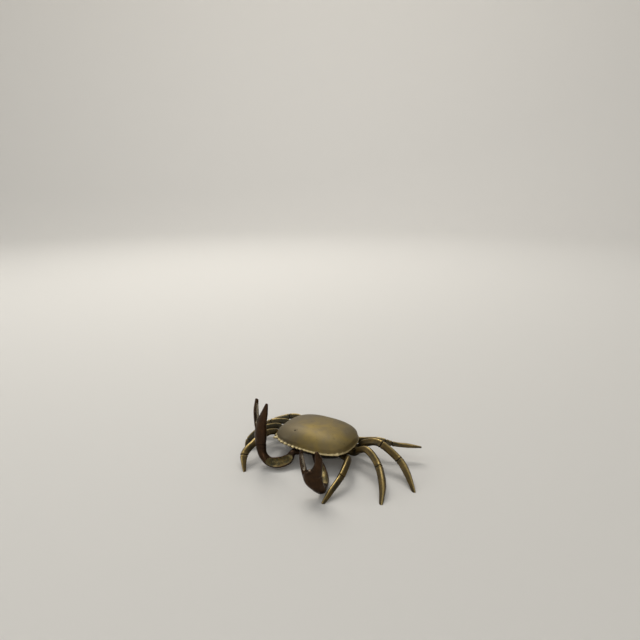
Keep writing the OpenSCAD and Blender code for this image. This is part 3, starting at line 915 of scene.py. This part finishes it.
# Each leg's side direction, the places of its joint grooves, and its steps from the seat
LEGS = {
    "left_leg_1": ((0.97, -0.24, 0), (3.875,), [
        (7.5, -7, 11.8, 0.9, 1), (10.2, -17, 11.3, 0.9, 0.95), (11, -26, 8.3, 0.85, 0.9),
        (10, -39, 4, 0.72, 0.8), (8.9, -48.5, -0.6, 0.4, 0.55)]),
    "left_leg_2": ((0.5, 0.87, 0), (4.125,), [
        (10, -1.5, 13.6, 0.95, 1), (17.8, -4, 16.6, 1.05, 1), (29, -11.5, 12.3, 0.98, 0.95),
        (38.2, -24.5, 6.5, 0.9, 0.85), (43.2, -38.2, -1, 0.4, 0.5)]),
    "left_leg_3": ((0.3, 0.95, 0), (3.125, 4.05), [
        (9.5, 1, 13.8, 1, 1.2), (22.5, -0.8, 18.6, 1.1, 1.1), (39.8, -4.5, 12, 1.1, 0.95),
        (49.8, -12, 6.6, 0.95, 0.85), (59, -21.7, -1, 0.4, 0.5)]),
    "left_leg_4": ((-0.3, 0.95, 0), (4.375, 4.875), [
        (10, 2.5, 10.5, 0.85, 0.95), (17, 2, 13, 0.8, 0.9), (24.7, 0.7, 15, 0.85, 0.9),
        (34.3, 3.3, 13.4, 0.75, 0.7), (44, 8, 12.6, 1, 0.5), (54, 12.6, 11.6, 0.3, 0.25)]),
    "right_leg_1": ((0.95, -0.3, 0), (3.375, 6.05), [
        (-6.6, -0.8, 11.7, 0.9, 1), (-9.6, -7.3, 13.4, 1, 1), (-10.2, -15.3, 14, 1.05, 1),
        (-10.1, -26.1, 12.7, 1.1, 1), (-10.8, -37.5, 8, 1.15, 1), (-3.6, -46.6, -1, 0.3, 0.4)]),
    "right_leg_2": ((0.6, -0.8, 0), (3.375, 4.875), [
        (-10.3, 0.1, 11.9, 0.9, 1), (-16.3, -10.9, 13.5, 1, 1), (-20.3, -17.4, 11, 0.95, 0.95),
        (-23.1, -24.1, 5.7, 0.8, 0.85), (-22.6, -27.4, -1, 0.4, 0.5)]),
    "right_leg_3": ((0.6, -0.8, 0), (3.375, 4.875), [
        (-9.9, 1.3, 11.7, 0.9, 1), (-17.9, -5.4, 12.9, 1, 1), (-22.9, -9.4, 10.8, 0.95, 0.95),
        (-26.7, -12.4, 6, 0.8, 0.85), (-28, -13.6, -1, 0.4, 0.5)]),
    "right_leg_4": ((-0.3, -0.95, 0), (3.375, 4.875), [
        (-8.5, 7.5, 11.8, 0.9, 0.95), (-15, 6, 12, 0.95, 0.95), (-22, 0.8, 11, 0.9, 0.9),
        (-29, -4, 8.5, 0.8, 0.8), (-36, -7.5, 3.8, 0.6, 0.7), (-40, -9.2, -0.8, 0.4, 0.5)]),
}

# How grey the brass of some legs has gone, 0 to 1
DULL_LEGS = {"right_leg_2": 0.9, "right_leg_3": 0.6, "right_leg_4": 0.5, "left_leg_4": 0.3}

for name, (side, joints, steps) in LEGS.items():
    stations = root(name) + from_seat(name, side, LEG_WIDE, LEG_THICK, steps)
    rings, wear = limb_rings(stations, joints, ridged=True)
    leg = closed_skin(name + "_cast", rings)
    leg_wear(leg, wear)
    dulled = leg.data.attributes.new("tarnish_and_sheen", "FLOAT", "POINT")
    for entry in dulled.data:
        entry.value = DULL_LEGS.get(name, 0)
    roughen(leg, 0.00005, 0.004)
    stand_flat(leg)
    leg.data.materials.append(leg_brass)
    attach(leg, "body")
    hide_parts(name)


# Claws.
# Two dark bronze castings, each an arm with a hollow, rough face, a smooth full palm and two pointed fingers.
# The right claw is raised straight up, and the left one stands bent before the body.

CLAW_WIDE = 14
CLAW_THICK = 8
LEFT_PALM = (0.87, 0.5, 0)
RIGHT_PALM = (0.98, -0.2, 0)

# The steps of each arm, with its palm and first finger, and of each second finger, with their side directions
LEFT_ARM = [(LEFT_PALM, [
    (10, -10, 8, 0.5, 0.72), (18, -19, 5.4, 0.52, 0.75), (22, -29, 4.9, 0.46, 0.8),
    (20.6, -33.5, 10, 0.7, 0.95), (18, -34, 16, 1, 1), (20.4, -33.9, 20.5, 0.62, 0.85),
    (21.8, -33.8, 26, 0.42, 0.64), (22.2, -34, 31, 0.36, 0.48), (20.4, -34.8, 36.8, 0.16, 0.22)])]
LEFT_FINGER = [(LEFT_PALM, [
    (13.6, -33.5, 13, 0.5, 0.7), (11, -34.5, 19, 0.32, 0.55), (10.2, -35.8, 26, 0.27, 0.42),
    (10.3, -36.9, 32, 0.22, 0.34), (11.2, -37.8, 37, 0.12, 0.16)])]
RIGHT_ARM = [
    ((0.7, -0.6, -0.4), [(-3.6, -9, 5.8, 0.58, 0.78), (-7.8, -15.3, 5, 0.64, 0.8)]),
    ((0.55, -0.8, -0.1), [(-15, -18, 5.2, 0.6, 0.8)]),
    ((0.75, -0.6, 0.1), [(-21, -17.8, 9.5, 0.58, 0.85)]),
    (RIGHT_PALM, [
        (-23.3, -16.8, 17, 0.64, 0.95), (-23.4, -16.5, 26, 0.78, 1), (-22, -16.5, 35, 0.62, 0.8),
        (-18.8, -17, 44, 0.42, 0.55), (-15.8, -17.5, 53, 0.14, 0.2)])]
RIGHT_FINGER = [(RIGHT_PALM, [
    (-24.4, -16.5, 24, 0.4, 0.6), (-26.3, -16.5, 33, 0.34, 0.55), (-26.8, -16.7, 44, 0.34, 0.42),
    (-25.3, -17, 54.8, 0.22, 0.22)])]
CLAWS = {"left_claw": (LEFT_ARM, LEFT_FINGER), "right_claw": (RIGHT_ARM, RIGHT_FINGER)}

# The direction and the ends of the arm's hollow, the wrist groove, the fork between the fingers, where a
# highlight is painted, and the place on the left palm that is dressed smooth after casting
ARM_OPEN = {"left_claw": (0.35, -0.7, 0.6), "right_claw": (0.3, -0.6, 0.75)}
ARM_ENDS = {"left_claw": (0.1, 0.46), "right_claw": (0.09, 0.36)}
WRISTS = {"left_claw": (4.125,), "right_claw": (6.125,)}
FORK_HIGHLIGHTS = {"left_claw": (16.4, -34.6, 19.6), "right_claw": (-24.3, -17, 34)}
DRESSED = {"left_claw": (23.2, -31.1, 15)}
FINGER_OPEN = (0.75, -0.6, 0.2)
ON_FINGER = 2
CASTING_GRAIN = 0.0003
DRESSED_REACH = 0.0034
FORK_HIGHLIGHT_REACH = 0.0023


def fade(share, start, end, soft):
    """1 between two places along a limb, with soft ends."""
    return max(0, min(1, (share - start) / soft)) * max(0, min(1, (end - share) / soft))


def one_casting(piece, grain):
    """Fuses the forms of a claw into one even skin, cast together, and softens where they meet."""
    fused = piece.modifiers.new("fused", "REMESH")
    fused.mode = "VOXEL"
    fused.voxel_size = grain
    solid_copy(piece, fused)
    even = piece.modifiers.new("even", "SMOOTH")
    even.iterations = 4
    even.factor = 0.5
    solid_copy(piece, even)


def dress(piece, place, reach):
    """Smooths one place of a casting, as a file does."""
    form = bmesh.new()
    form.from_mesh(piece.data)
    near = [v for v in form.verts if (v.co - place).length < reach]
    for step in range(40):
        bmesh.ops.smooth_vert(form, verts=near, factor=0.5, use_axis_x=True, use_axis_y=True, use_axis_z=True)
    form.to_mesh(piece.data)
    form.free()


def nearest_marks(piece, places, marks):
    """The marks of the nearest point of the first forms, for every point of the fused skin."""
    tree = kdtree.KDTree(len(places))
    for i, place in enumerate(places):
        tree.insert(place, i)
    tree.balance()
    return [marks[tree.find(v.co)[1]] for v in piece.data.vertices]


def claw_forms(name):
    """The arm with its palm and first finger, and the second finger, as one mesh, and its points' marks."""
    arm, finger = CLAWS[name]
    start, end = ARM_ENDS[name]
    stations = [p for side, steps in arm for p in from_seat(name, side, CLAW_WIDE, CLAW_THICK, steps)]
    rings, marks = limb_rings(root(name) + stations, WRISTS[name], 0.05, 56, gap=0.5, hollow=lambda share: (
        fade(share, start, end, 0.06), ARM_OPEN[name]))
    claw = closed_skin(name + "_cast", rings)
    stations = [p for side, steps in finger for p in from_seat(name, side, CLAW_WIDE, CLAW_THICK, steps)]
    finger_rings, finger_marks = limb_rings(stations, sides=40, gap=0.5, hollow=lambda share: (
        fade(share, 0.3, 0.93, 0.1) * 0.55, FINGER_OPEN))
    second = closed_skin("finger", finger_rings)
    forms = bmesh.new()
    forms.from_mesh(claw.data)
    forms.from_mesh(second.data)
    forms.to_mesh(claw.data)
    forms.free()
    bpy.data.objects.remove(second)
    return claw, marks + [(0, 0, ON_FINGER, deep) for ridge, cut, share, deep in finger_marks]


def claw_wear(claw, marks, fork):
    """Golden spots in the arm's hollow, a bright finger hollow, a painted highlight in the fork, a little
    painted top light, grime in the wrist and painted shade below.
    """
    rubbed_and_highlight = claw.data.attributes.new("rubbed_and_highlight", "FLOAT", "POINT")
    grime_and_shade = claw.data.attributes.new("grime_and_shade", "FLOAT", "POINT")
    for v, (ridge, cut, share, deep) in zip(claw.data.vertices, marks):
        in_hollow = 0.85 if share == ON_FINGER else max(0, noise.noise(v.co / 0.004) * 0.9)
        # Painted highlight in the fork between the fingers, on faces that turn up or into the finger hollow
        fork_highlight = exp(-((v.co - fork).length / FORK_HIGHLIGHT_REACH) ** 2) * max(0, min(1, 0.3 + v.normal.z + deep))
        # Painted top light: faces that turn up are a little brighter
        painted_top_light = 0.1 * max(0, v.normal.z)
        rubbed_and_highlight.data[v.index].value = min(1, in_hollow * min(1, deep * 3) + painted_top_light + 1.4 * fork_highlight)
        # Grime in the wrist groove; painted shade on faces that turn down
        grime_and_shade.data[v.index].value = min(1, 0.7 * cut + 0.35 * max(0, -v.normal.z))


claw_bronze = aged_metal(
    "claw_bronze", tint(70, 50, 33), tint(50, 37, 27), tint(168, 158, 140), tint(20, 13, 9),
    cloud_size=90.0, grain=0.2, waves=0.45, pits=0.3, pit_size=380.0,
    smooth=0.24, dull=0.46, bump=0.3, metallic=0.93, rub_and_highlight=0.9, dirt_and_shade=0.9)
claw_hollow = aged_metal(
    "claw_hollow", tint(124, 106, 62), tint(84, 84, 68), tint(206, 184, 126), tint(26, 22, 14),
    cloud_size=330.0, grain=1.0, waves=1.6, pits=1.4, pit_size=700.0,
    smooth=0.4, dull=0.72, bump=1.0, metallic=0.8, dirt_and_shade=0.7)

for name in CLAWS:
    claw, form_marks = claw_forms(name)
    places = [v.co.copy() for v in claw.data.vertices]
    one_casting(claw, CASTING_GRAIN)
    x, y, z = seat_point(name)
    if name in DRESSED:
        dress(claw, spot(x + DRESSED[name][0], y + DRESSED[name][1], DRESSED[name][2]), DRESSED_REACH)
    marks = nearest_marks(claw, places, form_marks)
    claw_wear(claw, marks, spot(x + FORK_HIGHLIGHTS[name][0], y + FORK_HIGHLIGHTS[name][1], FORK_HIGHLIGHTS[name][2]))
    claw.data.materials.append(claw_bronze)
    claw.data.materials.append(claw_hollow)
    arm_depths = [0 if share == ON_FINGER else deep for ridge, cut, share, deep in marks]
    for face in claw.data.polygons:
        face.material_index = 1 if all(arm_depths[i] > 0.08 for i in face.vertices) else 0
        face.use_smooth = True
    roughen(claw, 0.00005, 0.004)
    normals = [v.normal.copy() for v in claw.data.vertices]
    for v, normal, deep in zip(claw.data.vertices, normals, arm_depths):
        v.co += normal * (noise.fractal(v.co / 0.0016, 0.8, 2.1, 4) * 0.00022 * min(1, deep * 2))
    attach(claw, "body")
    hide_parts(name)
